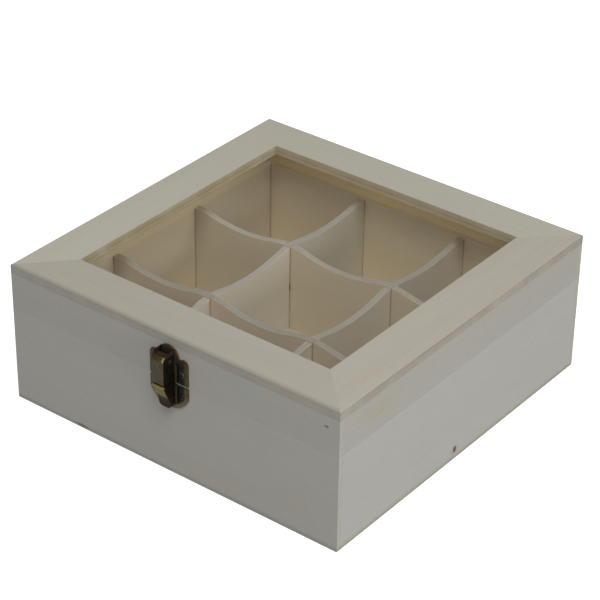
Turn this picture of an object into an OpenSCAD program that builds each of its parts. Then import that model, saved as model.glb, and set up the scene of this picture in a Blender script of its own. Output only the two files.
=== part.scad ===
// Tea bag organizer box: a light raw-wood box with nine compartments, a
// glazed lid on two rear hinges and an antique-brass swing latch in front.
// The origin is the centre of the underside, +X to the right seen from the
// front, +Y to the back and +Z up. The lid is drawn closed.

/* [Box] */
// Width of the box from left to right
box_w = 240; // [232:1:250]
// Depth of the wooden box from front to back
box_d = 240; // [232:1:250]
// Height of the closed box
box_h = 92.5; // [90:0.5:98]
// Thickness of the walls and of the lid rails
wall_t = 7; // [6.5:0.5:8]
// Thickness of the bottom panel
bottom_t = 4; // [3:0.5:5]
// Height of the parting line between base and lid
seam_z = 63; // [62:0.5:63.5]
// Gap at the parting line
seam_gap = 0.1; // [0.1:0.05:0.3]
// Thickness of the lip that laps over the end of a side wall
lip_t = 4; // [3:0.5:5]

/* [Lid] */
// Width of the mitred frame members
frame_w = 28.5; // [24:0.5:34]
// How far the window sits off the middle to the right
window_x = -0.8; // [-2:0.1:2]
// How far the window sits off the middle to the back
window_y = 1.2; // [-2:0.1:2]
// Thickness of the mitred frame members
frame_t = 6; // [5:0.5:6]
// Rounding of the upper outer edge of the frame
frame_round = 0.7; // [0.4:0.1:1.5]
// Thickness of the glass pane
glass_t = 2; // [1.5:0.5:3]
// Space between the edge of the glass and the lid rails
glass_clear = 1.5; // [0.5:0.5:3]
// Width of the strips that hold the glass
bead_w = 6; // [5:0.5:8]
// Height of the strips that hold the glass
bead_h = 7; // [5:0.5:8]

/* [Dividers] */
// Thickness of the divider boards
divider_t = 4.2; // [3:0.1:4.5]
// Distance between the two dividers of one direction
divider_pitch = 76.6; // [72:0.2:80]
// Height of the crests of the left-to-right dividers above the underside
crest_z = 63.2; // [62:0.1:65]
// How much lower the crests of the front-to-back dividers are
crest_drop = 0.7; // [0:0.1:1.5]
// Height of the scallop over the middle compartments
trough_mid_z = 57.9; // [57:0.1:60]
// Height of the scallop over the outer compartments
trough_outer_z = 58.6; // [57:0.1:60]
// Radius of the rounded crests
crest_r = 50; // [30:1:60]
// Space between a divider end and the wall
divider_clear = 0.25; // [0.1:0.05:0.5]
// Side clearance of the crossed slots
slot_clear = 0.3; // [0.05:0.05:0.4]

/* [Hinges] */
// Distance of each hinge from the middle of the box
hinge_x = 70; // [55:1:85]
// Width of a hinge
hinge_w = 26; // [22:1:30]
// Thickness of the hinge leaves
leaf_t = 1; // [0.8:0.1:1.2]
// Outer radius of the hinge knuckles
knuckle_r = 1.9; // [1.8:0.1:2.1]
// Radius of the hinge pins
hinge_pin_r = 0.8; // [0.7:0.05:0.9]
// Radial clearance of a pin in the part that turns on it
pin_clear = 0.05; // [0.03:0.01:0.08]
// Opening angle at which the hinge tails meet
open_angle = 100; // [95:1:105]
// Length of the hinge tails from the pin's centre
tail_len = 7.5; // [6:0.5:9]

/* [Latch] */
// Sideways place of the latch on the front
latch_x = 1.6; // [-5:0.1:5]
// Half the width of the two latch plates
plate_half = 13.9; // [13:0.1:15]
// Thickness of the latch plates
plate_t = 0.9; // [0.7:0.1:1]
// Width of the swing lever
lever_w = 8.6; // [8:0.1:9]
// Thickness of the lever's sheet metal
sheet_t = 0.7; // [0.5:0.05:0.8]
// Radius of the latch pin
latch_pin_r = 0.9; // [0.7:0.05:1]

/* [Fasteners] */
// Radius of the brad shanks
brad_r = 0.6; // [0.4:0.05:0.7]
// Radius of the brad heads
brad_head_r = 1.2; // [1:0.1:1.4]

/* [Hidden] */
$fn = 64;

hw = box_w / 2;
hd = box_d / 2;
iw = hw - wall_t;
id = hd - wall_t;
base_top = seam_z - seam_gap / 2;
lid_bottom = seam_z + seam_gap / 2;
frame_z = box_h - frame_t;
glass_z = frame_z - glass_t;
bead_z = glass_z - bead_h;
hole_clear = 0.02;

// divider geometry
div_half = iw - divider_clear;
slot_z = (bottom_t + crest_z) / 2 - 0.2;
slot_w = divider_t + 2 * slot_clear;

// hinge geometry
hinge_y = hd + knuckle_r + 0.3;
leaf_in = hd - 6;
mortise = leaf_t + 0.05;
mid_half = hinge_w / 6;
tail_a = open_angle / 2 + 0.25;
nail_dx = hinge_w / 2 - 4;
nail_y = hd - 3;
hinge_nail_len = 9;

// latch geometry, as distance in front of the wall and height
pivot = [6, 80.6];
hood_r = 3.4;
front_d = 10.5;
tip_z = 46.6;
rib_half = 5.9;
rib_d = 1.8;
ear_in = lever_w / 2 + 0.15;
nail_dx_l = 9.6;
nail_z_up = 70.7;
nail_z_low = 56.2;
latch_nail_r = 0.7;
latch_nail_len = 6.2;

brads_x = [-90, 0, 90];
brads_y = [-78, 0, 78];
brad_len = 14;

wood = [0.80, 0.77, 0.70];
wood_in = [0.72, 0.66, 0.54];
ply = [0.76, 0.70, 0.58];
bronze = [0.32, 0.26, 0.15];
steel = [0.62, 0.60, 0.57];
clear_glass = [0.85, 0.92, 0.90, 0.35];

// ---------------------------------------------------------------- helpers

// A round hole or brad on the Z axis from z0 to z1
module post(x, y, z0, z1, r) { translate([x, y, z0]) cylinder(r = r, h = z1 - z0, $fn = 32); }

// Positions of the brads that hold the bottom panel
module at_bottom_brads() {
    for (x = brads_x, s = [-1, 1]) translate([x, s * (hd - wall_t / 2), 0]) children();
    for (y = brads_y, s = [-1, 1]) translate([s * (hw - wall_t / 2), y, 0]) children();
}

module brad_shanks(grow) { at_bottom_brads() post(0, 0, 0.7, brad_len + grow, brad_r + grow); }

// Wall or rail across the box, rabbeted at both ends for the side pieces.
// side is -1 for the front and 1 for the back.
module cross_wall(side, z0, z1) {
    difference() {
        translate([-hw, side > 0 ? id : -hd, z0]) cube([box_w, wall_t, z1 - z0]);
        for (s = [-1, 1])
            translate([s > 0 ? iw : -hw - 1, side > 0 ? id - 1 : -hd + lip_t, z0 - 1])
                cube([wall_t + 1, wall_t - lip_t + 1, z1 - z0 + 2]);
    }
}

// Wall or rail along the side of the box, let into the rabbets
module side_wall(side, z0, z1) {
    translate([side > 0 ? iw : -hw, -hd + lip_t, z0]) cube([wall_t, box_d - 2 * lip_t, z1 - z0]);
}

// Recess for a hinge leaf in an edge that runs along X
module leaf_recess(x, z0) {
    translate([x - hinge_w / 2 - 0.1, leaf_in - 0.1, z0]) cube([hinge_w + 0.2, hd - leaf_in + 1.1, mortise + 0.5]);
}

// Place a side profile, given as distance in front of the wall and height,
// across the latch with width w
module latch_side(w) { translate([latch_x, -hd, 0]) rotate([90, 0, -90]) linear_extrude(w, center = true) children(); }

// Place a front outline, given as sideways place and height, on the wall
module latch_front(t) { translate([latch_x, -hd, 0]) rotate([90, 0, 0]) linear_extrude(t) children(); }

// A round bar along X through the latch, at distance d and height z
module latch_bar(d, z, r, w) { translate([latch_x, -hd - d, z]) rotate([0, 90, 0]) cylinder(r = r, h = w, center = true, $fn = 48); }

// A round bar that goes into the front wall, from distance d inwards
module latch_drill(z, d, len, r) {
    for (s = [-1, 1]) translate([latch_x + s * nail_dx_l, -hd - d, z]) rotate([-90, 0, 0]) cylinder(r = r, h = len, $fn = 32);
}

// ------------------------------------------------------------------- base

module base_front_wall() {
    color(wood) difference() {
        cross_wall(-1, bottom_t, base_top);
        brad_shanks(hole_clear);
        latch_drill(nail_z_low, 1, latch_nail_len + 1.2, latch_nail_r + hole_clear);
    }
}

module base_back_wall() {
    color(wood) difference() {
        cross_wall(1, bottom_t, base_top);
        brad_shanks(hole_clear);
        for (s = [-1, 1]) {
            leaf_recess(s * hinge_x, base_top - mortise);
            for (n = [-1, 1])
                post(s * hinge_x + n * nail_dx, nail_y, base_top - hinge_nail_len - 0.2, base_top, brad_r + hole_clear);
        }
    }
}

module base_left_wall() { color(wood) difference() { side_wall(-1, bottom_t, base_top); brad_shanks(hole_clear); } }
module base_right_wall() { color(wood) difference() { side_wall(1, bottom_t, base_top); brad_shanks(hole_clear); } }

module base_bottom_panel() {
    color(ply) difference() {
        translate([-hw, -hd, 0]) cube([box_w, box_d, bottom_t]);
        at_bottom_brads() {
            post(0, 0, -1, bottom_t + 1, brad_r + hole_clear);
            post(0, 0, -1, 0.9, brad_head_r + 0.05);
        }
    }
}

module base_bottom_brads() {
    color(steel) at_bottom_brads() {
        post(0, 0, 0.7, brad_len, brad_r);
        post(0, 0, 0.2, 0.9, brad_head_r);
    }
}

// --------------------------------------------------------------- dividers

// Height of the scalloped top edge at the distance u from the middle, with
// the crests at the height top
function wave(u, top) =
    let (a = abs(u), p = divider_pitch / 2, mid = a < p,
         c = mid ? 0 : (p + iw) / 2,
         h = mid ? p : (iw - p) / 2,
         trough = mid ? trough_mid_z : trough_outer_z,
         sag = top - trough,
         s = (h * h + sag * sag) / (2 * sag),
         r = s - crest_r,
         d = abs(a - c))
    d < h * r / s ? trough + r - sqrt(r * r - d * d)
                  : top - crest_r + sqrt(crest_r * crest_r - (h - d) * (h - d));

wave_steps = 116;

// Board standing on the bottom panel with the scalloped top edge, centred
// on the origin and running along X
module divider_board(top) {
    rotate([90, 0, 0]) linear_extrude(divider_t, center = true)
        polygon(concat([[-div_half, bottom_t]],
            [for (i = [0 : wave_steps]) let (u = -div_half + 2 * div_half * i / wave_steps) [u, wave(u, top)]],
            [[div_half, bottom_t]]));
}

// Divider from left to right: its slots open downwards
module divider_across(y) {
    color(wood_in) translate([0, y, 0]) difference() {
        divider_board(crest_z);
        for (s = [-1, 1])
            translate([s * divider_pitch / 2 - slot_w / 2, -divider_t, bottom_t - 1]) cube([slot_w, 2 * divider_t, slot_z - bottom_t + 1.1]);
    }
}

// Divider from front to back: its slots open upwards
module divider_along(x) {
    color(wood_in) translate([x, 0, 0]) rotate([0, 0, 90]) difference() {
        divider_board(crest_z - crest_drop);
        for (s = [-1, 1])
            translate([s * divider_pitch / 2 - slot_w / 2, -divider_t, slot_z - 0.1]) cube([slot_w, 2 * divider_t, 60]);
    }
}

module divider_front() { divider_across(-divider_pitch / 2); }
module divider_back() { divider_across(divider_pitch / 2); }
module divider_left() { divider_along(-divider_pitch / 2); }
module divider_right() { divider_along(divider_pitch / 2); }

// -------------------------------------------------------------------- lid

pin_places = [-75, 0, 75];
pin_z = bead_z + bead_h / 2;
pin_len = bead_w + 3.5;

// Positions of the pins that hold the glazing strips, each with its own Z
// axis pointing into the rail
module at_glazing_pins() {
    for (p = pin_places, a = [0, 90, 180, 270])
        rotate([0, 0, a]) translate([p, id - bead_w, pin_z]) rotate([-90, 0, 0]) children();
}

module glazing_pin_holes(grow) {
    at_glazing_pins() {
        translate([0, 0, -1]) cylinder(r = 0.5 + grow, h = pin_len + 1 + grow, $fn = 24);
        translate([0, 0, -1]) cylinder(r = 0.9 + grow, h = 1.4 + grow, $fn = 24);
    }
}

module lid_front_rail() {
    color(wood) difference() {
        cross_wall(-1, lid_bottom, frame_z);
        glazing_pin_holes(hole_clear);
        latch_drill(nail_z_up, 1, latch_nail_len + 1.2, latch_nail_r + hole_clear);
    }
}

module lid_back_rail() {
    color(wood) difference() {
        cross_wall(1, lid_bottom, frame_z);
        glazing_pin_holes(hole_clear);
        for (s = [-1, 1]) {
            translate([0, 0, -0.5]) leaf_recess(s * hinge_x, lid_bottom);
            for (n = [-1, 1])
                post(s * hinge_x + n * nail_dx, nail_y, lid_bottom, lid_bottom + hinge_nail_len + 0.2, brad_r + hole_clear);
        }
    }
}

module lid_left_rail() { color(wood) difference() { side_wall(-1, lid_bottom, frame_z); glazing_pin_holes(hole_clear); } }
module lid_right_rail() { color(wood) difference() { side_wall(1, lid_bottom, frame_z); glazing_pin_holes(hole_clear); } }

// One mitred member: half lengths a along it and b from the middle out, with
// the window moved by sx and sy. Its upper outer edge is rounded.
module frame_member(a, b, sx, sy) {
    color(wood) intersection() {
        translate([0, 0, frame_z]) linear_extrude(frame_t)
            polygon([[-a, -b], [a, -b], [a - frame_w + sx, -b + frame_w + sy],
                [-a + frame_w + sx, -b + frame_w + sy]]);
        rotate([90, 0, 90]) linear_extrude(2 * a + 2, center = true)
            polygon(concat([[-b, frame_z - 1]],
                [for (t = [0 : 15 : 90]) [-b + frame_round * (1 - cos(t)), box_h - frame_round * (1 - sin(t))]],
                [[-b + frame_w + 3, box_h], [-b + frame_w + 3, frame_z - 1]]));
    }
}

module lid_frame_front() { frame_member(hw, hd, window_x, window_y); }
module lid_frame_back() { rotate([0, 0, 180]) frame_member(hw, hd, -window_x, -window_y); }
module lid_frame_left() { rotate([0, 0, -90]) frame_member(hd, hw, -window_y, window_x); }
module lid_frame_right() { rotate([0, 0, 90]) frame_member(hd, hw, window_y, -window_x); }

module glass_pane() {
    color(clear_glass) translate([-iw + glass_clear, -id + glass_clear, glass_z])
        cube([2 * (iw - glass_clear), 2 * (id - glass_clear), glass_t]);
}

// Strip under the edge of the glass, against the rail on the +Y side
module bead(len, out) {
    color(wood_in) difference() {
        translate([-len / 2, out - bead_w, bead_z]) cube([len, bead_w, bead_h]);
        for (p = pin_places) translate([p, out - bead_w, pin_z]) rotate([-90, 0, 0]) {
            translate([0, 0, -1]) cylinder(r = 0.5 + hole_clear, h = bead_w + 2, $fn = 24);
            translate([0, 0, -1]) cylinder(r = 0.9 + hole_clear, h = 1.4 + hole_clear, $fn = 24);
        }
    }
}

module glazing_bead_front() { rotate([0, 0, 180]) bead(2 * iw, id); }
module glazing_bead_back() { bead(2 * iw, id); }
module glazing_bead_left() { rotate([0, 0, 90]) bead(2 * (id - bead_w), iw); }
module glazing_bead_right() { rotate([0, 0, -90]) bead(2 * (id - bead_w), iw); }

module glazing_pins() {
    color(steel) at_glazing_pins() {
        cylinder(r = 0.5, h = pin_len, $fn = 24);
        translate([0, 0, 0.1]) cylinder(r = 0.9, h = 0.3, $fn = 24);
    }
}

// ----------------------------------------------------------------- hinges

module along_hinge(x, w, r) { translate([x, hinge_y, seam_z]) rotate([0, 90, 0]) cylinder(r = r, h = w, center = true, $fn = 48); }

// Flat stop tail behind the knuckles: its working face lies on the ray from
// the pin at the angle a above the horizontal, its thickness beyond it
module tail(x, w, up) {
    translate([x - w / 2, hinge_y, seam_z]) rotate([up * tail_a, 0, 0])
        translate([0, knuckle_r + 0.35, up > 0 ? 0 : -leaf_t]) cube([w, tail_len - knuckle_r - 0.35, leaf_t]);
}

// Neck that joins the tail to a knuckle of width w
module neck(x, w, up) {
    translate([x - w / 2, hinge_y, seam_z]) rotate([up * tail_a, 0, 0])
        translate([0, 0.9, up > 0 ? 0 : -leaf_t]) cube([w, knuckle_r + 0.4, leaf_t]);
}

// Nail holes of a leaf, countersunk on the face at z
module leaf_holes(x, z0, z1, face, d) {
    for (n = [-1, 1]) {
        post(x + n * nail_dx, nail_y, z0 - 1, z1 + 1, brad_r + 0.05);
        translate([x + n * nail_dx, nail_y, d > 0 ? face - 0.5 : face - 1]) cylinder(r = 1.3, h = 1.5, $fn = 32);
    }
}

module base_leaf(x) {
    color(bronze) difference() {
        union() {
            translate([x - hinge_w / 2, leaf_in, base_top - leaf_t]) cube([hinge_w, hd - leaf_in, leaf_t]);
            for (s = [-1, 1]) {
                k = hinge_w / 2 - mid_half - 0.15;
                c = x + s * (mid_half + 0.15 + k / 2);
                along_hinge(c, k, knuckle_r);
                translate([c - k / 2, hd - 0.5, base_top - leaf_t]) cube([k, hinge_y - hd + 0.5, leaf_t]);
                neck(c, k, -1);
            }
            tail(x, hinge_w, -1);
        }
        along_hinge(x, hinge_w + 2, hinge_pin_r + hole_clear);
        leaf_holes(x, base_top - leaf_t, base_top, base_top, 1);
    }
}

module lid_leaf(x) {
    color(bronze) difference() {
        union() {
            translate([x - hinge_w / 2, leaf_in, lid_bottom]) cube([hinge_w, hd - leaf_in, leaf_t]);
            along_hinge(x, 2 * mid_half - 0.3, knuckle_r);
            translate([x - mid_half + 0.15, hd - 0.5, lid_bottom]) cube([2 * mid_half - 0.3, hinge_y - hd + 0.5, leaf_t]);
            neck(x, 2 * mid_half - 0.3, 1);
            tail(x, hinge_w, 1);
        }
        along_hinge(x, hinge_w + 2, hinge_pin_r + pin_clear);
        leaf_holes(x, lid_bottom, lid_bottom + leaf_t, lid_bottom, -1);
    }
}

module hinge_pin(x) {
    color(bronze) {
        along_hinge(x, hinge_w + 0.6, hinge_pin_r);
        for (s = [-1, 1]) translate([x + s * (hinge_w / 2 + 0.35), hinge_y, seam_z]) rotate([0, 90, 0])
            cylinder(r = 1.2, h = 0.6, center = true, $fn = 32);
    }
}

module hinge_left_base_leaf() { base_leaf(-hinge_x); }
module hinge_left_lid_leaf() { lid_leaf(-hinge_x); }
module hinge_left_pin() { hinge_pin(-hinge_x); }
module hinge_right_base_leaf() { base_leaf(hinge_x); }
module hinge_right_lid_leaf() { lid_leaf(hinge_x); }
module hinge_right_pin() { hinge_pin(hinge_x); }

module hinge_base_nails() {
    color(bronze) for (s = [-1, 1], n = [-1, 1]) {
        post(s * hinge_x + n * nail_dx, nail_y, base_top - hinge_nail_len, base_top - 0.1, brad_r);
        post(s * hinge_x + n * nail_dx, nail_y, base_top - 0.48, base_top - 0.05, 1.25);
    }
}

module hinge_lid_nails() {
    color(bronze) for (s = [-1, 1], n = [-1, 1]) {
        post(s * hinge_x + n * nail_dx, nail_y, lid_bottom + 0.1, lid_bottom + hinge_nail_len, brad_r);
        post(s * hinge_x + n * nail_dx, nail_y, lid_bottom + 0.05, lid_bottom + 0.48, 1.25);
    }
}

// ------------------------------------------------------------------ latch

// Outline of the plate on the lid: shoulders and a round arch
module upper_outline() {
    translate([-plate_half, 64.2]) square([2 * plate_half, 13.4]);
    for (s = [-1, 1]) translate([s * (plate_half - 3.2), 77.6]) circle(3.2);
    translate([-plate_half + 3.2, 77]) square([2 * plate_half - 6.4, 3]);
    translate([0, 79.75]) circle(7.35);
}

// Outline of the plate on the base: a shallow bow at the bottom
module lower_outline() {
    intersection() {
        translate([-plate_half, 44]) square([2 * plate_half, 18.6]);
        translate([0, 61]) circle(15, $fn = 96);
    }
}

// Side view of the ears that carry the latch pin
module ear_profile() {
    polygon([[0.5, 71.2], [6.2, 71.2], [8.95, 82.0], [7.2, 85.6], [0.5, 85.6]]);
    translate(pivot) circle(3.05);
}

module latch_upper_plate() {
    color(bronze) difference() {
        union() {
            latch_front(plate_t) upper_outline();
            latch_front(rib_d) translate([-rib_half, 64.2]) square([2 * rib_half, 11.8]);
            for (s = [-1, 1]) translate([s * (ear_in + sheet_t / 2), 0, 0]) latch_side(sheet_t) ear_profile();
        }
        latch_bar(pivot[0], pivot[1], latch_pin_r + hole_clear, 30);
        latch_drill(nail_z_up, 3, 4, latch_nail_r + 0.05);
    }
}

module latch_lower_plate() {
    color(bronze) difference() {
        union() {
            latch_front(plate_t) lower_outline();
            latch_front(rib_d) translate([-rib_half, 50]) square([2 * rib_half, 12.6]);
            // keeper tab that the tip of the lever hooks under
            translate([latch_x - 3, -hd - 4, 51.5]) cube([6, 3.6, 0.9]);
        }
        latch_drill(nail_z_low, 3, 4, latch_nail_r + 0.05);
    }
}

// Outer edge of the lever below the hood, from the front down to the tip
lever_out = [[front_d, 66.2], [8.6, 65.5], [8.6, 64.9], [10.4, 64.1], [10.4, 63.4], [8.6, 59.3], [6, 54],
    [5, 50.8], [4.7, 48.2], [4, 46.9], [3, tip_z], [2.2, 47]];
// Inner edge of the same strip, from the tip back up
lever_in = [[2.2, 50.6], [2.9, 50.6], [2.9, 47.6], [3.6, 47.8], [4, 48.6], [4.3, 50.9], [5.3, 54.3],
    [7.9, 59.6], [9.5, 63.3], [7.9, 64.4], [7.9, 66], [front_d - sheet_t, 66.7]];

// Rounded hood over the pin, solid
module hood_disc(r) {
    translate(pivot) circle(r);
    translate([front_d - hood_r, pivot[1]]) circle(r);
    translate([pivot[0], pivot[1]]) square([front_d - hood_r - pivot[0], r]);
}

// Side view of a cheek
module cheek_profile() {
    hood_disc(hood_r);
    polygon(concat([[2.2, 79.4], [pivot[0] - hood_r, pivot[1]], [front_d, pivot[1]]], lever_out, [[2.2, 50.6]]));
}

// Side view of the bent front strip
module web_profile() {
    difference() {
        hood_disc(hood_r);
        hood_disc(hood_r - sheet_t);
        translate([-5, pivot[1] - 10]) square([30, 10]);
    }
    translate([front_d - sheet_t, 66.2]) square([sheet_t, pivot[1] - 66.2]);
    polygon(concat(lever_out, lever_in));
}

// Front outline of the lever: straight sides and a round lower end
module lever_outline() {
    r = lever_w / 2 + 0.1;
    translate([0, tip_z + r]) circle(r, $fn = 96);
    translate([-r - 1, tip_z + r]) square([2 * r + 2, 50]);
}

module latch_lever() {
    color(bronze) difference() {
        intersection() {
            union() {
                for (s = [-1, 1]) translate([s * (lever_w - sheet_t) / 2, 0, 0]) latch_side(sheet_t) cheek_profile();
                latch_side(lever_w - sheet_t) web_profile();
            }
            latch_front(20) lever_outline();
        }
        latch_bar(pivot[0], pivot[1], latch_pin_r + pin_clear, 30);
    }
}

module latch_pin() {
    color(bronze) {
        latch_bar(pivot[0], pivot[1], latch_pin_r, 2 * (ear_in + sheet_t) + 0.6);
        for (s = [-1, 1]) translate([s * (ear_in + sheet_t + 0.35), 0, 0]) latch_bar(pivot[0], pivot[1], 1.5, 0.6);
    }
}

// Domed nail into the front, head on the plate
module latch_nails(z) {
    for (s = [-1, 1]) translate([latch_x + s * nail_dx_l, -hd - plate_t, z]) rotate([-90, 0, 0]) {
        translate([0, 0, -0.3]) cylinder(r = latch_nail_r, h = latch_nail_len + 0.3, $fn = 32);
        translate([0, 0, -0.7]) rotate_extrude($fn = 48) polygon([[0, 0], [1, 0.08], [1.6, 0.35], [1.8, 0.7], [0, 0.7]]);
    }
}

module latch_lid_nails() { color(bronze) latch_nails(nail_z_up); }
module latch_base_nails() { color(bronze) latch_nails(nail_z_low); }

// ----------------------------------------------------------------- output

base_front_wall();
base_back_wall();
base_left_wall();
base_right_wall();
base_bottom_panel();
base_bottom_brads();
divider_front();
divider_back();
divider_left();
divider_right();
lid_front_rail();
lid_back_rail();
lid_left_rail();
lid_right_rail();
lid_frame_front();
lid_frame_back();
lid_frame_left();
lid_frame_right();
glass_pane();
glazing_bead_front();
glazing_bead_back();
glazing_bead_left();
glazing_bead_right();
glazing_pins();
hinge_left_base_leaf();
hinge_left_lid_leaf();
hinge_left_pin();
hinge_right_base_leaf();
hinge_right_lid_leaf();
hinge_right_pin();
hinge_base_nails();
hinge_lid_nails();
latch_upper_plate();
latch_lower_plate();
latch_lever();
latch_pin();
latch_lid_nails();
latch_base_nails();
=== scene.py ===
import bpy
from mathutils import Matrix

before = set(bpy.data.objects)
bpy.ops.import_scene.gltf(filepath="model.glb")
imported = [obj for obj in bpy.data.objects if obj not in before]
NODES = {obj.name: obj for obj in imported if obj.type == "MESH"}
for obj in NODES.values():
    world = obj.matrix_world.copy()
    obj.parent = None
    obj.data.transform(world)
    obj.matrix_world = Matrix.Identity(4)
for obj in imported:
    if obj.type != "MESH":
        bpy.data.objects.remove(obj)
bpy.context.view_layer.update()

import math

import bmesh
import bpy
from mathutils import Matrix, Vector

scene = bpy.context.scene
scene.view_settings.view_transform = "Standard"
scene.view_settings.look = "None"

MM = 0.001


# ---------------------------------------------------------------- node helpers
class Tree:
    """Short calls for building a material's nodes."""

    def __init__(self, name):
        self.mat = bpy.data.materials.new(name)
        self.mat.use_nodes = True
        self.nt = self.mat.node_tree
        self.nt.nodes.clear()
        self.out = self.add("ShaderNodeOutputMaterial")
        self.coord = self.add("ShaderNodeTexCoord")

    def add(self, kind, **props):
        n = self.nt.nodes.new(kind)
        for k, v in props.items():
            setattr(n, k, v)
        return n

    def link(self, a, b):
        self.nt.links.new(a, b)

    def put(self, socket, v):
        if isinstance(v, bpy.types.NodeSocket):
            self.link(v, socket)
        elif v is not None:
            socket.default_value = v

    def math(self, op, a, b=None, c=None, clamp=False):
        n = self.add("ShaderNodeMath", operation=op, use_clamp=clamp)
        for i, v in enumerate((a, b, c)):
            self.put(n.inputs[i], v)
        return n.outputs[0]

    def vec(self, op, a, b=None):
        n = self.add("ShaderNodeVectorMath", operation=op)
        self.put(n.inputs[0], a)
        self.put(n.inputs[1], b)
        return n.outputs["Value"] if op in ("LENGTH", "DOT_PRODUCT") else n.outputs[0]

    def mapping(self, v, scale=(1, 1, 1), loc=(0, 0, 0), rot=(0, 0, 0)):
        n = self.add("ShaderNodeMapping")
        self.link(v, n.inputs["Vector"])
        n.inputs["Location"].default_value = loc
        n.inputs["Rotation"].default_value = rot
        n.inputs["Scale"].default_value = scale
        return n.outputs[0]

    def noise(self, v, scale, detail=2.0, rough=0.5, dist=0.0):
        n = self.add("ShaderNodeTexNoise")
        self.link(v, n.inputs["Vector"])
        n.inputs["Scale"].default_value = scale
        n.inputs["Detail"].default_value = detail
        n.inputs["Roughness"].default_value = rough
        n.inputs["Distortion"].default_value = dist
        return n.outputs["Fac"]

    def ramp(self, v, a, b, lo=0.0, hi=1.0, smooth=True):
        """v from a..b to lo..hi, clamped."""
        n = self.add("ShaderNodeMapRange", interpolation_type="SMOOTHSTEP" if smooth else "LINEAR")
        self.put(n.inputs["Value"], v)
        for k, x in zip(("From Min", "From Max", "To Min", "To Max"), (a, b, lo, hi)):
            n.inputs[k].default_value = x
        return n.outputs[0]

    def band(self, v, lo, hi, soft):
        """1 between lo and hi, 0 outside, with soft edges."""
        return self.math("MULTIPLY", self.ramp(v, lo - soft, lo + soft), self.ramp(v, hi - soft, hi + soft, 1.0, 0.0))

    def mix(self, fac, a, b, kind="MIX"):
        n = self.add("ShaderNodeMix", data_type="RGBA", blend_type=kind)
        self.put(n.inputs[0], fac)
        for i, v in ((6, a), (7, b)):
            if isinstance(v, (tuple, list)) and len(v) == 3:
                v = (*v, 1.0)
            self.put(n.inputs[i], v)
        return n.outputs[2]

    def split(self, v):
        n = self.add("ShaderNodeSeparateXYZ")
        self.link(v, n.inputs[0])
        return n.outputs

    def bump(self, height, strength, distance, normal=None):
        n = self.add("ShaderNodeBump")
        self.put(n.inputs["Height"], height)
        n.inputs["Strength"].default_value = strength
        n.inputs["Distance"].default_value = distance
        if normal is not None:
            self.link(normal, n.inputs["Normal"])
        return n.outputs[0]

    def principled(self, **sockets):
        n = self.add("ShaderNodeBsdfPrincipled")
        for k, v in sockets.items():
            s = n.inputs[k.replace("_", " ")]
            if isinstance(v, (tuple, list)) and len(v) == 3 and s.type == "RGBA":
                v = (*v, 1.0)
            self.put(s, v)
        return n


AXES = {"X": 0, "Y": 1, "Z": 2}


def lin(r, g, b):
    """sRGB 0..255 to linear."""
    def f(v):
        v /= 255.0
        return v / 12.92 if v <= 0.04045 else ((v + 0.055) / 1.055) ** 2.4
    return (f(r), f(g), f(b))


def times(c, k):
    return tuple(a * b for a, b in zip(c, k)) if isinstance(k, (tuple, list)) else tuple(a * k for a in c)


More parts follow.
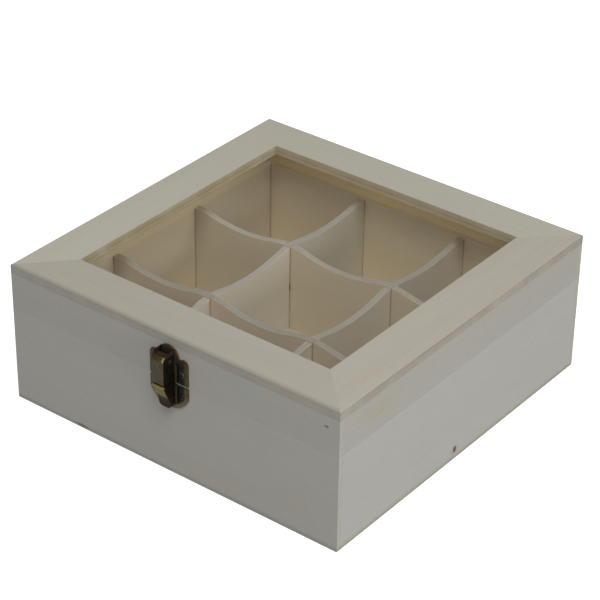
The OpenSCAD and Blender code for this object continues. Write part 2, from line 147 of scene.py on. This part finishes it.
def wood(name, grain, tone, seed, streak=1.0, inner=None, end=(1.0, 0.99, 0.96), up=None, plies=(), marks=(), lines=(),
         rough=0.6, warm=(0.955, 0.925, 0.845)):
    """Raw pale wood. grain is the axis it runs along, tone the mean colour and warm what the
    yellower bands are multiplied by. inner is the colour of the faces inside the box, end the factor
    for end grain, up the colour of faces that look up. plies lists the layers of a plywood edge as
    (axis, from, to, colour factor, where); with plies the sloped faces of rounded edges get a painted
    shade. marks are knots and stains as (centre, radii, colour factor, softness, ragged), lines are
    straight colour bands, joint lines and painted light and shade, as (axis, place, half width,
    softness, axis 2, from, to, colour factor, facing); all lengths in millimetres."""
    t = Tree(name)
    obj = t.coord.outputs["Object"]
    g = AXES[grain]
    wander = t.noise(t.mapping(obj, loc=(seed * 1.7, seed * 0.9, seed * 2.3)), 7.0, 1.0, 0.5)
    wander = t.math("MULTIPLY", t.math("SUBTRACT", wander, 0.5), 0.007)
    parts = t.split(obj)
    comb = t.add("ShaderNodeCombineXYZ")
    for i in range(3):
        t.put(comb.inputs[i], parts[i] if i == g else t.math("ADD", parts[i], wander))
    bent = comb.outputs[0]
    mm = [t.math("MULTIPLY", parts[i], 1000.0) for i in range(3)]
    far = t.math("MAXIMUM", t.math("ABSOLUTE", mm[0]), t.math("ABSOLUTE", mm[1]))
    nrm = t.split(t.coord.outputs["Normal"])
    flat = t.math("ABSOLUTE", nrm[2])

    def stretched(along, across, dx=0.0):
        s = [across] * 3
        s[g] = along
        return t.mapping(bent, scale=tuple(s), loc=(seed + dx, seed * 0.37 - dx, seed * 1.91 + dx))

    broad = t.noise(stretched(2.6, 20.0), 1.0, 3.0, 0.55)              # wide growth bands
    bands = t.noise(stretched(5.0, 110.0, 3.1), 1.0, 3.0, 0.6)          # finer bands
    fibre = t.noise(stretched(36.0, 900.0, 7.7), 1.0, 3.0, 0.65)        # hair lines
    dash = t.noise(stretched(160.0, 2400.0, 1.3), 1.0, 1.0, 0.5)        # pores
    pores = t.ramp(dash, 0.66, 0.78)
    cloud = t.noise(t.mapping(obj, loc=(seed * 0.31, -seed, seed * 0.77)), 15.0, 3.0, 0.6)
    mottled = t.noise(t.mapping(obj, loc=(-seed, seed * 0.5, seed)), 420.0, 2.0, 0.6)

    base = tone
    if inner is not None:
        base = t.mix(t.ramp(far, 114.6, 114.0), tone, inner)
    if up is not None:
        base = t.mix(t.ramp(nrm[2], 0.35, 0.75), base, up)
    c = t.mix(t.math("MULTIPLY", t.ramp(broad, 0.36, 0.68), 0.45 * streak), base, warm, "MULTIPLY")
    c = t.mix(t.math("MULTIPLY", t.ramp(bands, 0.42, 0.70), 0.42 * streak), c, (0.94, 0.915, 0.86), "MULTIPLY")
    c = t.mix(t.math("MULTIPLY", t.ramp(cloud, 0.50, 0.74), 0.5), c, (0.955, 0.965, 0.975), "MULTIPLY")
    c = t.mix(t.math("MULTIPLY", t.ramp(fibre, 0.35, 0.72), 0.075 * streak), c, (0.30, 0.24, 0.16), "MULTIPLY")
    c = t.mix(t.math("MULTIPLY", pores, 0.13 * streak), c, (0.60, 0.52, 0.42), "MULTIPLY")
    c = t.mix(t.math("MULTIPLY", t.ramp(mottled, 0.40, 0.70), 0.04), c, (0.5, 0.45, 0.38), "MULTIPLY")

    cut = t.ramp(t.math("ABSOLUTE", nrm[g]), 0.75, 0.95)                 # end grain
    dots = t.noise(t.mapping(obj, loc=(seed, 0, 0)), 1500.0, 2.0, 0.6)
    rings = t.noise(stretched(0.0, 230.0, 5.0), 1.0, 2.0, 0.5)
    ec = t.mix(t.math("MULTIPLY", t.ramp(rings, 0.35, 0.7), 0.6), times(tone, end), times(tone, times(end, (0.93, 0.89, 0.82))))
    ec = t.mix(t.math("MULTIPLY", t.ramp(dots, 0.5, 0.75), 0.16), ec, (0.45, 0.38, 0.3), "MULTIPLY")
    if inner is not None or up is not None:
        cut = t.math("MULTIPLY", cut, t.ramp(far, 114.0, 114.6))
    c = t.mix(cut, c, ec)

    if plies:
        # painted shade: faces that slope between upright and flat, the rounded edges, are darkened
        c = t.mix(t.band(nrm[2], 0.12, 0.94, 0.05), c, (0.80, 0.765, 0.70), "MULTIPLY")
        edge = t.ramp(flat, 0.80, 0.45)
        jitter = t.noise(t.mapping(obj, loc=(seed, 2 * seed, 0)), 60.0, 2.0, 0.5)
        jitter = t.math("MULTIPLY", t.math("SUBTRACT", jitter, 0.5), 0.28)
        patch = t.noise(t.mapping(obj, loc=(seed, 0, 0)), 45.0, 3.0, 0.65)
        inside = t.ramp(far, 94.0, 93.0)
        for ax, lo, hi, mul, where in plies:
            soft = min(0.16, (hi - lo) * 0.35)
            w = t.band(t.math("ADD", mm[AXES[ax]], jitter), lo, hi, soft)
            w = t.math("MULTIPLY", t.math("MULTIPLY", w, edge), t.ramp(patch, 0.28, 0.6, 0.62, 1.0))
            if where == "inner":
                w = t.math("MULTIPLY", w, inside)
            elif where == "outer":
                w = t.math("MULTIPLY", w, t.math("SUBTRACT", 1.0, inside))
            c = t.mix(w, c, mul, "MULTIPLY")

    for centre, radii, mul, soft, ragged in marks:
        d = t.vec("SUBTRACT", obj, tuple(v * MM for v in centre))
        d = t.vec("MULTIPLY", d, tuple(1.0 / (r * MM) for r in radii))
        d = t.vec("LENGTH", d)
        wob = t.noise(t.mapping(obj, loc=(seed, 0, seed)), 900.0 / max(3.0, min(r for r in radii)), 2.0, 0.6)
        d = t.math("ADD", d, t.math("MULTIPLY", t.math("SUBTRACT", wob, 0.5), ragged))
        c = t.mix(t.ramp(d, 1.0, 1.0 - soft), c, mul, "MULTIPLY")

    for ax, at, half, soft, ax2, lo, hi, mul, facing in lines:
        w = t.band(mm[AXES[ax]], at - half, at + half, soft)
        w = t.math("MULTIPLY", w, t.band(mm[AXES[ax2]], lo, hi, 2.0))
        if facing == "up":
            w = t.math("MULTIPLY", w, t.ramp(nrm[2], 0.6, 0.95))
        elif facing == "side":
            w = t.math("MULTIPLY", w, t.ramp(nrm[2], 0.8, 0.4))
        elif facing == "in":
            w = t.math("MULTIPLY", w, t.ramp(far, 114.6, 114.0))
        c = t.mix(w, c, mul, "MULTIPLY")

    r = t.math("ADD", t.ramp(fibre, 0.3, 0.7, rough - 0.04, rough + 0.08), t.math("MULTIPLY", cut, 0.1))
    h = t.math("ADD", t.math("MULTIPLY", fibre, 1.0), t.math("MULTIPLY", pores, -0.6))
    h = t.math("ADD", h, t.math("MULTIPLY", bands, 0.7))
    nb = t.bump(h, 0.40, 0.00008)
    p = t.principled(Base_Color=c, Roughness=r, Specular_IOR_Level=0.3, Normal=nb)
    t.link(p.outputs[0], t.out.inputs["Surface"])
    return t.mat


# ---------------------------------------------------------------- dress the CAD nodes
def dress(name, material, bevel=0.25, segments=2, angle=35.0):
    o = NODES[name]
    o.data.materials.clear()
    o.data.materials.append(material)
    if bevel:
        w = o.modifiers.new("weld", "WELD")
        w.merge_threshold = 0.00001
        d = o.modifiers.new("planar", "DECIMATE")
        d.decimate_type = "DISSOLVE"
        d.angle_limit = math.radians(0.6)
        b = o.modifiers.new("eased", "BEVEL")
        b.width = bevel * MM
        b.segments = segments
        b.limit_method = "ANGLE"
        b.angle_limit = math.radians(angle)
        b.use_clamp_overlap = True
    return o


OUT = times(lin(190, 186, 173), 1 / 1.2)
IN = lin(224, 206, 170)


# layers of the frame's plywood, seen on its edges
def frame_plies(inner=1.0, outer=1.0):
    tint, line = (0.90, 0.80, 0.62), (0.78, 0.75, 0.71)
    face = (0.83, 0.82, 0.87)
    return (
        ("Z", 86.4, 92.7, times(tint, inner), "inner"), ("Z", 88.7, 89.6, line, "inner"), ("Z", 90.6, 91.1, (0.95, 0.94, 0.92), "inner"),
        ("Z", 86.4, 92.1, times(face, outer), "outer"), ("Z", 90.6, 91.4, (0.90, 0.89, 0.91), "outer"),
        ("Z", 88.0, 88.7, (0.94, 0.935, 0.94), "outer"), ("Z", 86.9, 87.5, (0.98, 0.98, 0.975), "outer"),
    )


# painted shade: the front frame's top is darkened along its outer edge so the rounded edge doesn't light up
FRONT_EDGE_SHADE = (("Y", -120.0, 2.0, 1.5, "X", -121, 121, (0.80, 0.80, 0.82), "up"),)
# painted highlight: a slightly lighter line along the seam between lid and base at z 63 mm
SEAM_HIGHLIGHT = ("Z", 63.0, 0.35, 0.2, "X", -121, 121, (1.06, 1.06, 1.06), "")
# painted shade: a darker band along the bottom panel's outer edges just above the floor
BASE_CONTACT_SHADE = ("Z", 1.5, 0.8, 0.6, "X", -121, 121, (0.79, 0.79, 0.81), "")
warm_spot = (1.0, 0.955, 0.83)
JOINT = (0.66, 0.58, 0.50)


def joints(axis, places, facing=""):
    """Thin dark upright lines where boards meet inside the box."""
    return tuple((axis, v, 0.3, 0.15, "Z", 4, 64, JOINT, facing) for v in places)



dress("lid_frame_front", wood("wood_frame_front", "X", times(OUT, (1.025, 1.02, 1.03)), 3.0, 0.6, plies=frame_plies(), lines=FRONT_EDGE_SHADE,
      marks=[((-88, -108, 92.5), (9, 1.6, 2), warm_spot, 0.8, 0.6), ((-62, -99, 92.5), (5, 1.2, 2), warm_spot, 0.8, 0.6),
             ((-101, -113, 92.5), (4, 1.4, 2), warm_spot, 0.8, 0.6)]), 0)
dress("lid_frame_back", wood("wood_frame_back", "X", times(OUT, 1.13), 11.0, 0.6, plies=frame_plies((0.97, 0.97, 0.97))), 0)
dress("lid_frame_left", wood("wood_frame_left", "Y", times(OUT, 1.155), 17.0, 0.6, plies=frame_plies((0.78, 0.77, 0.74))), 0)
# painted shade: the right frame's outer edge is darkened further so its rounded edge doesn't light up
dress("lid_frame_right", wood("wood_frame_right", "Y", times(OUT, (1.11, 1.085, 1.095)), 29.0, 0.6, plies=frame_plies(1.0, (0.84, 0.83, 0.80)),
      marks=[((107.6, -94, 92.5), (1.0, 6, 2), warm_spot, 0.8, 0.5), ((110.2, -85, 92.5), (1.0, 7, 2), warm_spot, 0.8, 0.5),
             ((112.8, -76, 92.5), (1.0, 7, 2), warm_spot, 0.8, 0.5), ((115.0, -68, 92.5), (1.0, 5, 2), warm_spot, 0.8, 0.5)]), 0)

BACK_IN, LEFT_IN = times(IN, (1.08, 1.08, 1.13)), times(IN, (0.94, 0.97, 1.08))
dress("base_front_wall", wood("wood_base_front", "X", times(OUT, (0.96, 0.99, 1.07)), 41.0, 0.35, IN, lines=(SEAM_HIGHLIGHT,),
      marks=[((35, -120, 12), (60, 3, 9), (1.0, 0.985, 0.93), 0.9, 0.6), ((86, -120, 22), (22, 3, 14), (1.0, 0.985, 0.94), 0.9, 0.6)]), 0.15)
dress("base_back_wall", wood("wood_base_back", "X", times(OUT, (0.96, 0.99, 1.05)), 43.0, 0.35, times(BACK_IN, (0.95, 0.97, 1.0)), lines=(SEAM_HIGHLIGHT,) + joints("X", (-112.6, -36.1, 40.5), "in")), 0.15)
dress("base_left_wall", wood("wood_base_left", "Y", times(OUT, (0.96, 0.99, 1.07)), 47.0, 0.35, LEFT_IN, lines=(SEAM_HIGHLIGHT,) + joints("Y", (112.6, 36.1, -40.5), "in")), 0.15)
dress("base_right_wall", wood("wood_base_right", "Y", times(OUT, (0.96, 0.99, 1.09)), 53.0, 0.35, IN, lines=(SEAM_HIGHLIGHT,),
      marks=[((120, -8.2, 6.2), (3, 4.6, 5.0), (0.93, 0.82, 0.73), 0.8, 0.5), ((120, -7.6, 6.8), (3, 1.9, 2.9), (0.34, 0.25, 0.18), 0.45, 0.4)]), 0.15)
dress("lid_front_rail", wood("wood_lid_front", "X", times(OUT, (0.925, 0.96, 1.05)), 59.0, 0.35, IN, lines=(SEAM_HIGHLIGHT,),
      marks=[((111.2, -120, 80), (2.1, 3, 0.9), (0.50, 0.38, 0.26), 0.6, 0.6)]), 0.15)
# painted light: the back rail's inner faces, which lie in the frame's shadow, are brightened
dress("lid_back_rail", wood("wood_lid_back", "X", times(OUT, (0.95, 0.98, 1.05)), 61.0, 0.35, times(BACK_IN, (1.13, 1.12, 1.06)), lines=(SEAM_HIGHLIGHT,)), 0.15)
dress("lid_left_rail", wood("wood_lid_left", "Y", times(OUT, (0.94, 0.97, 1.05)), 67.0, 0.35, LEFT_IN, lines=(SEAM_HIGHLIGHT,)), 0.15)
dress("lid_right_rail", wood("wood_lid_right", "Y", times(OUT, (0.90, 0.91, 1.0)), 71.0, 0.45, IN,
      lines=(SEAM_HIGHLIGHT, ("Z", 86.0, 14.0, 7.0, "X", 0, 121, (1.0, 0.985, 0.93), "")),
      marks=[((120, 52.6, 85.4), (3, 3.2, 1.0), (0.97, 0.87, 0.64), 0.8, 0.5), ((120, -84, 77), (3, 26, 9), (1.0, 0.98, 0.90), 0.9, 0.5)]), 0.15)
dress("base_bottom_panel", wood("ply_bottom", "X", times(OUT, (0.97, 0.99, 1.04)), 73.0, 0.6, times(IN, (0.66, 0.72, 0.86)), lines=(BASE_CONTACT_SHADE,),
      marks=[((-68.5, -120, 1.5), (5.5, 3, 1.3), (0.62, 0.49, 0.34), 0.6, 0.7)]), 0.1)
ALONG, FRONT_ACROSS, BACK_ACROSS = times(IN, (0.98, 1.08, 1.41)), times(IN, (0.97, 0.99, 1.17)), times(IN, (0.88, 0.92, 1.05))
TOPS = times(OUT, 1.2)
KNOT_Z = 34.0
for n, g, s, c, u in (("divider_front", "X", 79.0, FRONT_ACROSS, (0.79, 0.77, 0.79)), ("divider_back", "X", 83.0, BACK_ACROSS, (0.91, 0.87, 0.89)),
                      ("divider_left", "Y", 89.0, ALONG, (0.97, 0.96, 1.03)), ("divider_right", "Y", 97.0, times(ALONG, (1.07, 1.06, 1.03)), (0.90, 0.875, 0.89))):
    ax2, ax = ("X", "Y") if g == "X" else ("Y", "X")
    at = 38.3 if n.endswith(("back", "right")) else -38.3
    lines = [(ax, at + k * 0.65, 0.17, 0.12, ax2, -114, 114, (0.74, 0.70, 0.67), "up") for k in (-1, 1)]
    # painted light: divider tops within about 12 mm of the walls, in the frame's shadow, are brightened and warmed
    lines += [(ax2, k * 113.0, 12.0, 3.0, ax, -114, 114, (1.34, 1.20, 0.97), "up") for k in (-1, 1)]
    lines += joints(ax2, (-35.9, 40.7) if g == "X" else (-40.7, 35.9))
    # painted shade: divider_left's side faces in the back half, y 38 to 114 mm, are darkened
    if n == "divider_left":
        lines.append(("Y", 76.5, 38.0, 1.5, "X", -60, 0, (0.86, 0.87, 0.85), "side"))
    # painted light: divider_back's top on the left, x -108 to -42 mm, is brightened
    if n == "divider_back":
        lines.append(("X", -75.0, 33.0, 3.0, "Y", 30, 46, (1.10, 1.11, 1.09), "up"))
    knot = [((-36.2, 36.2, KNOT_Z), (0.9, 0.9, 3.4), (0.36, 0.28, 0.22), 0.5, 0.4)] if n in ("divider_back", "divider_left") else ()
    dress(n, wood("wood_" + n, g, c, s, 0.5, up=times(TOPS, u), lines=lines, marks=knot), 0.15)
# painted light: the back glazing bead, which lies in the frame's shadow, is brightened
for n, g, s in (("front", "X", 101.0), ("back", "X", 103.0), ("left", "Y", 107.0), ("right", "Y", 109.0)):
    dress("glazing_bead_" + n, wood("wood_bead_" + n, g, {"back": times(BACK_IN, (1.20, 1.27, 1.33)), "left": LEFT_IN}.get(n, IN), s, 0.4), 0.15)


# glass
t = Tree("pane_glass")
smudge = t.noise(t.mapping(t.coord.outputs["Object"], scale=(1.0, 1.6, 1.0)), 26.0, 4.0, 0.6)
g = t.principled(Base_Color=(0.985, 0.995, 0.985), Roughness=t.ramp(smudge, 0.4, 0.8, 0.01, 0.04), IOR=1.5, Transmission_Weight=1.0)
clear = t.add("ShaderNodeBsdfTransparent")
clear.inputs[0].default_value = (0.98, 0.98, 0.96, 1.0)
lp = t.add("ShaderNodeLightPath")
shader = g.outputs[0]
for ray in ("Is Shadow Ray", "Is Diffuse Ray"):
    m = t.add("ShaderNodeMixShader")
    t.link(lp.outputs[ray], m.inputs[0])
    t.link(shader, m.inputs[1])
    t.link(clear.outputs[0], m.inputs[2])
    shader = m.outputs[0]
t.link(shader, t.out.inputs["Surface"])
dress("glass_pane", t.mat, 0)


# metals
def metal(name, base, dark, seed, rough=0.36, scale=1.0, metallic=1.0, paint=()):
    """Old brass or wire. paint lists tinted zones as (colour, conditions); a condition is
    (kind, low, high, softness, ...) and all of a zone's conditions have to hold. Some zones are
    painted highlights and shade, picked by place and by which way a face looks (side, front, up).
    Distances are in millimetres: x from the latch's middle, d in front of the wall, z from the floor."""
    t = Tree(name)
    obj = t.coord.outputs["Object"]
    v = t.mapping(obj, loc=(seed, seed * 0.7, -seed))
    patina = t.noise(v, 260.0 * scale, 3.0, 0.55)
    fine = t.noise(v, 1400.0 * scale, 2.0, 0.6)
    mm = [t.math("MULTIPLY", k, 1000.0) for k in t.split(obj)]
    nrm = t.split(t.coord.outputs["Normal"])
    x = t.math("SUBTRACT", mm[0], 1.6)
    place = {"x": x, "ax": t.math("ABSOLUTE", x), "d": t.math("SUBTRACT", -120.0, mm[1]), "z": mm[2],
             "side": t.math("ABSOLUTE", nrm[0]), "front": t.math("MULTIPLY", nrm[1], -1.0), "up": nrm[2]}
    c = base
    for colour, conditions in paint:
        w = None
        for kind, lo, hi, soft, *at in conditions:
            if kind == "disc":
                dx, dz = t.math("SUBTRACT", place["ax"], at[0]), t.math("SUBTRACT", mm[2], at[1])
                q = t.math("SQRT", t.math("ADD", t.math("MULTIPLY", dx, dx), t.math("MULTIPLY", dz, dz)))
            else:
                q = place[kind]
            k = t.band(q, lo, hi, soft)
            w = k if w is None else t.math("MULTIPLY", w, k)
        c = t.mix(w, c, colour)
    c = t.mix(t.math("MULTIPLY", t.ramp(patina, 0.40, 0.68), 0.8 if not paint else 0.35), c, dark if not paint else (0.45, 0.42, 0.38),
              "MIX" if not paint else "MULTIPLY")
    c = t.mix(t.math("MULTIPLY", t.ramp(fine, 0.45, 0.75), 0.22), c, (0.5, 0.5, 0.5), "MULTIPLY")
    r = t.math("ADD", t.ramp(patina, 0.35, 0.7, rough - 0.05, rough + 0.10), t.ramp(fine, 0.4, 0.7, 0.0, 0.06))
    nb = t.bump(t.math("ADD", patina, t.math("MULTIPLY", fine, 0.3)), 0.18, 0.00006)
    p = t.principled(Base_Color=c, Metallic=metallic, Roughness=r, Specular_IOR_Level=0.25, Normal=nb)
    t.link(p.outputs[0], t.out.inputs["Surface"])
    return t.mat


BIG = 900.0
DARK = (0.012, 0.011, 0.006)
RIM = (0.125, 0.095, 0.045)
# painted highlight: a lighter strip along the rib's rounded side edges
RIB_EDGE_HIGHLIGHT = ((0.085, 0.075, 0.048), (("ax", 5.2, 6.1, 0.25), ("d", 1.2, 2.4, 0.2)))
# painted shade: a near-black strip on the plate at the foot of the rib, on its right side
RIB_FOOT_SHADE = ((0.010, 0.008, 0.006), (("x", 6.0, 7.4, 0.3), ("d", -BIG, 1.1, 0.1), ("z", -BIG, 76.5, 0.6)))
UPPER = metal("latch_upper_bronze", (0.038, 0.033, 0.028), DARK, 5.0, 0.38, 1.0, 0.5, (
    ((0.080, 0.057, 0.034), (("z", 78.0, BIG, 1.5), ("d", -BIG, 1.1, 0.1))),
    (RIM, (("ax", 11.2, BIG, 0.7), ("d", -BIG, 1.1, 0.1), ("z", -BIG, 79.0, 1.0))),
    ((0.130, 0.090, 0.050), (("disc", 6.3, BIG, 0.4, 0.0, 79.75), ("z", 80.5, BIG, 0.8), ("d", -BIG, 1.1, 0.1))),
    ((0.060, 0.058, 0.060), (("disc", 1.5, 2.5, 0.25, 9.6, 70.7), ("d", -BIG, 1.3, 0.1))),
    # painted shade: faces looking sideways are near black, a little less dark above z 83.6 mm
    (DARK, (("side", 0.6, BIG, 0.15), ("d", 1.9, BIG, 0.2))),
    ((0.045, 0.036, 0.024), (("side", 0.6, BIG, 0.15), ("d", 3.0, BIG, 0.4), ("z", 83.6, BIG, 0.5))),
    ((0.022, 0.018, 0.012), (("d", 1.4, 2.2, 0.1), ("ax", -BIG, 5.2, 0.3))),
    RIB_EDGE_HIGHLIGHT, RIB_FOOT_SHADE,
))
LOWER = metal("latch_lower_bronze", (0.032, 0.024, 0.019), DARK, 6.0, 0.38, 1.0, 0.5, (
    (RIM, (("ax", 10.9, BIG, 0.7), ("d", -BIG, 1.1, 0.1))),
    ((0.200, 0.165, 0.090), (("disc", 12.7, BIG, 0.6, 0.0, 61.0), ("z", -BIG, 56.0, 2.5), ("d", -BIG, 1.1, 0.1))),
    ((0.022, 0.018, 0.012), (("d", 1.4, 2.2, 0.1), ("ax", -BIG, 5.2, 0.3))),
    RIB_EDGE_HIGHLIGHT, (RIB_FOOT_SHADE[0], RIB_FOOT_SHADE[1][:2] + (("z", 51.0, 62.0, 0.6),)),
    # painted light: faces of the lower plate that look up get a lighter tone
    ((0.050, 0.040, 0.025), (("up", 0.25, BIG, 0.15),)),
))
LEVER = metal("latch_lever_bronze", DARK, DARK, 7.0, 0.36, 1.0, 0.5, (
    # painted light: front-facing faces between z 65.8 and 81 mm are lighter than the near-black sides
    ((0.126, 0.105, 0.073), (("front", 0.55, BIG, 0.15), ("z", 65.8, 81.0, 0.3))),
    # painted highlight: the hood's rounded top is golden where it turns up
    ((0.115, 0.072, 0.022), (("up", 0.10, BIG, 0.10), ("z", 80.6, BIG, 0.8))),
    # painted shade: the flat of the hood's top is darker
    ((0.055, 0.042, 0.028), (("up", 0.88, BIG, 0.06), ("z", 80.6, BIG, 0.8))),
    # painted highlight: a lighter strip on the lever's right front edge
    ((0.130, 0.103, 0.046), (("front", 0.2, BIG, 0.15), ("z", 65.8, 84.0, 0.2), ("x", 3.3, BIG, 0.25))),
    # painted highlight: a bright golden spot on the hood's right front corner
    ((0.420, 0.340, 0.170), (("x", 2.9, 4.2, 0.3), ("up", 0.2, 0.85, 0.1), ("z", 80.6, BIG, 0.5))),
    # painted highlight: the beak's front is golden
    ((0.330, 0.250, 0.080), (("z", 56.0, 64.6, 1.0), ("front", 0.2, BIG, 0.15))),
    # painted highlight: a bright line along the beak's top lip
    ((0.400, 0.330, 0.140), (("z", 63.2, 64.4, 0.3), ("front", 0.1, BIG, 0.1))),
    ((0.045, 0.024, 0.010), (("z", -BIG, 55.5, 1.2), ("front", 0.0, BIG, 0.15))),
    # painted shade: a near-black band in the recess under the hood
    ((0.006, 0.005, 0.003), (("z", 64.5, 66.1, 0.15), ("d", -BIG, 9.3, 0.3))),
))
PIN = metal("latch_pin_bronze", (0.050, 0.040, 0.025), DARK, 8.0, 0.36, 1.0, 0.6, (
    # painted shade: the pin's left half is near black
    (DARK, (("x", -BIG, 0.0, 0.5),)),
))
NAIL = metal("latch_nail_bronze", (0.075, 0.073, 0.075), DARK, 9.0, 0.36, 1.0, 0.6, (
    ((0.035, 0.027, 0.021), (("z", -BIG, 62.0, 0.5),)),
    ((0.012, 0.010, 0.008), (("disc", -BIG, 0.7, 0.25, 9.6, 70.7),)),
))
HINGE = metal("hinge_bronze", (0.150, 0.115, 0.055), (0.050, 0.040, 0.022), 12.0, 0.38, 1.0, 0.8)
STEEL = metal("wire_steel", (0.42, 0.42, 0.43), (0.25, 0.25, 0.26), 9.0, 0.4)
LATCH = {"latch_upper_plate": (UPPER, 0.28), "latch_lower_plate": (LOWER, 0.28), "latch_lever": (LEVER, 0.32), "latch_pin": (PIN, 0.2),
         "latch_lid_nails": (NAIL, 0.1), "latch_base_nails": (NAIL, 0.1)}
for n in NODES:
    if n in LATCH:
        dress(n, LATCH[n][0], LATCH[n][1], 3)
    elif n.startswith("hinge_"):
        dress(n, HINGE, 0.15, 2)
    elif n in ("base_bottom_brads", "glazing_pins"):
        dress(n, STEEL, 0)


# ---------------------------------------------------------------- floor, world, lights, camera
bm = bmesh.new()
S = 6.0
vs = [bm.verts.new(v) for v in ((-S, -S, 0), (S, -S, 0), (S, S, 0), (-S, S, 0))]
bm.faces.new(vs)
me = bpy.data.meshes.new("floor")
bm.to_mesh(me)
bm.free()
floor = bpy.data.objects.new("floor", me)
floor.location.z = -0.0002
scene.collection.objects.link(floor)
t = Tree("floor_paper")
p = t.principled(Base_Color=(0.95, 0.95, 0.95), Roughness=0.9, Specular_IOR_Level=0.1)
dim = t.add("ShaderNodeBsdfDiffuse")
dim.inputs[0].default_value = (0.45, 0.45, 0.45, 1.0)
lp = t.add("ShaderNodeLightPath")
m = t.add("ShaderNodeMixShader")
t.link(t.math("MAXIMUM", lp.outputs["Is Camera Ray"], lp.outputs["Is Transmission Ray"]), m.inputs[0])
t.link(dim.outputs[0], m.inputs[1])
t.link(p.outputs[0], m.inputs[2])
t.link(m.outputs[0], t.out.inputs["Surface"])
me.materials.append(t.mat)

W_WORLD, W_MAIN, W_KEY, W_FILL, W_FLOOR = 0.338, 46.8, 23.2, 3.5, 0.62
p.inputs["Emission Color"].default_value = (1.0, 1.0, 1.0, 1.0)
p.inputs["Emission Strength"].default_value = W_FLOOR

world = bpy.data.worlds.new("studio")
scene.world = world
world.use_nodes = True
bg = world.node_tree.nodes["Background"]
bg.inputs[0].default_value = (1.0, 1.0, 1.0, 1.0)
bg.inputs[1].default_value = W_WORLD
world.cycles_visibility.glossy = False


def softbox(name, at, size, power, colour=(1, 1, 1), aim=(0, 0, 0.05)):
    l = bpy.data.lights.new(name, "AREA")
    l.shape = "RECTANGLE"
    l.size, l.size_y = size
    l.energy = power
    l.color = colour
    o = bpy.data.objects.new(name, l)
    scene.collection.objects.link(o)
    o.location = at
    o.rotation_euler = (Vector(aim) - Vector(at)).to_track_quat("-Z", "Y").to_euler()
    return o


softbox("main", (0.975, -1.08, 2.64), (1.2, 1.2), W_MAIN)
softbox("side", (2.2, -0.1, 0.55), (1.6, 0.9), W_KEY)
softbox("front", (-0.3, -2.2, 0.6), (1.6, 0.9), W_FILL)

AZ, EL, ROLL = math.radians(37.578), math.radians(31.788), math.radians(0.855)
DIST, FPX = 1.327, 2215.2
right = Vector((math.cos(AZ), math.sin(AZ), 0))
back = Vector((math.sin(AZ) * math.cos(EL), -math.cos(AZ) * math.cos(EL), math.sin(EL)))
up = back.cross(right)
rr = right * math.cos(ROLL) + up * math.sin(ROLL)
uu = -right * math.sin(ROLL) + up * math.cos(ROLL)
PX, PY = 299.95, 315.7
loc = Vector((0, 0, 0.0464)) + back * DIST - rr * ((PX - 300) / FPX * DIST) + uu * ((PY - 300) / FPX * DIST)
cam_data = bpy.data.cameras.new("camera")
cam_data.sensor_width = 36.0
cam_data.sensor_fit = "HORIZONTAL"
cam_data.lens = FPX / 600.0 * 36.0
cam_data.clip_end = 50.0
cam = bpy.data.objects.new("camera", cam_data)
scene.collection.objects.link(cam)
cam.matrix_world = Matrix(((rr.x, uu.x, back.x, loc.x), (rr.y, uu.y, back.y, loc.y), (rr.z, uu.z, back.z, loc.z), (0, 0, 0, 1)))
scene.camera = cam
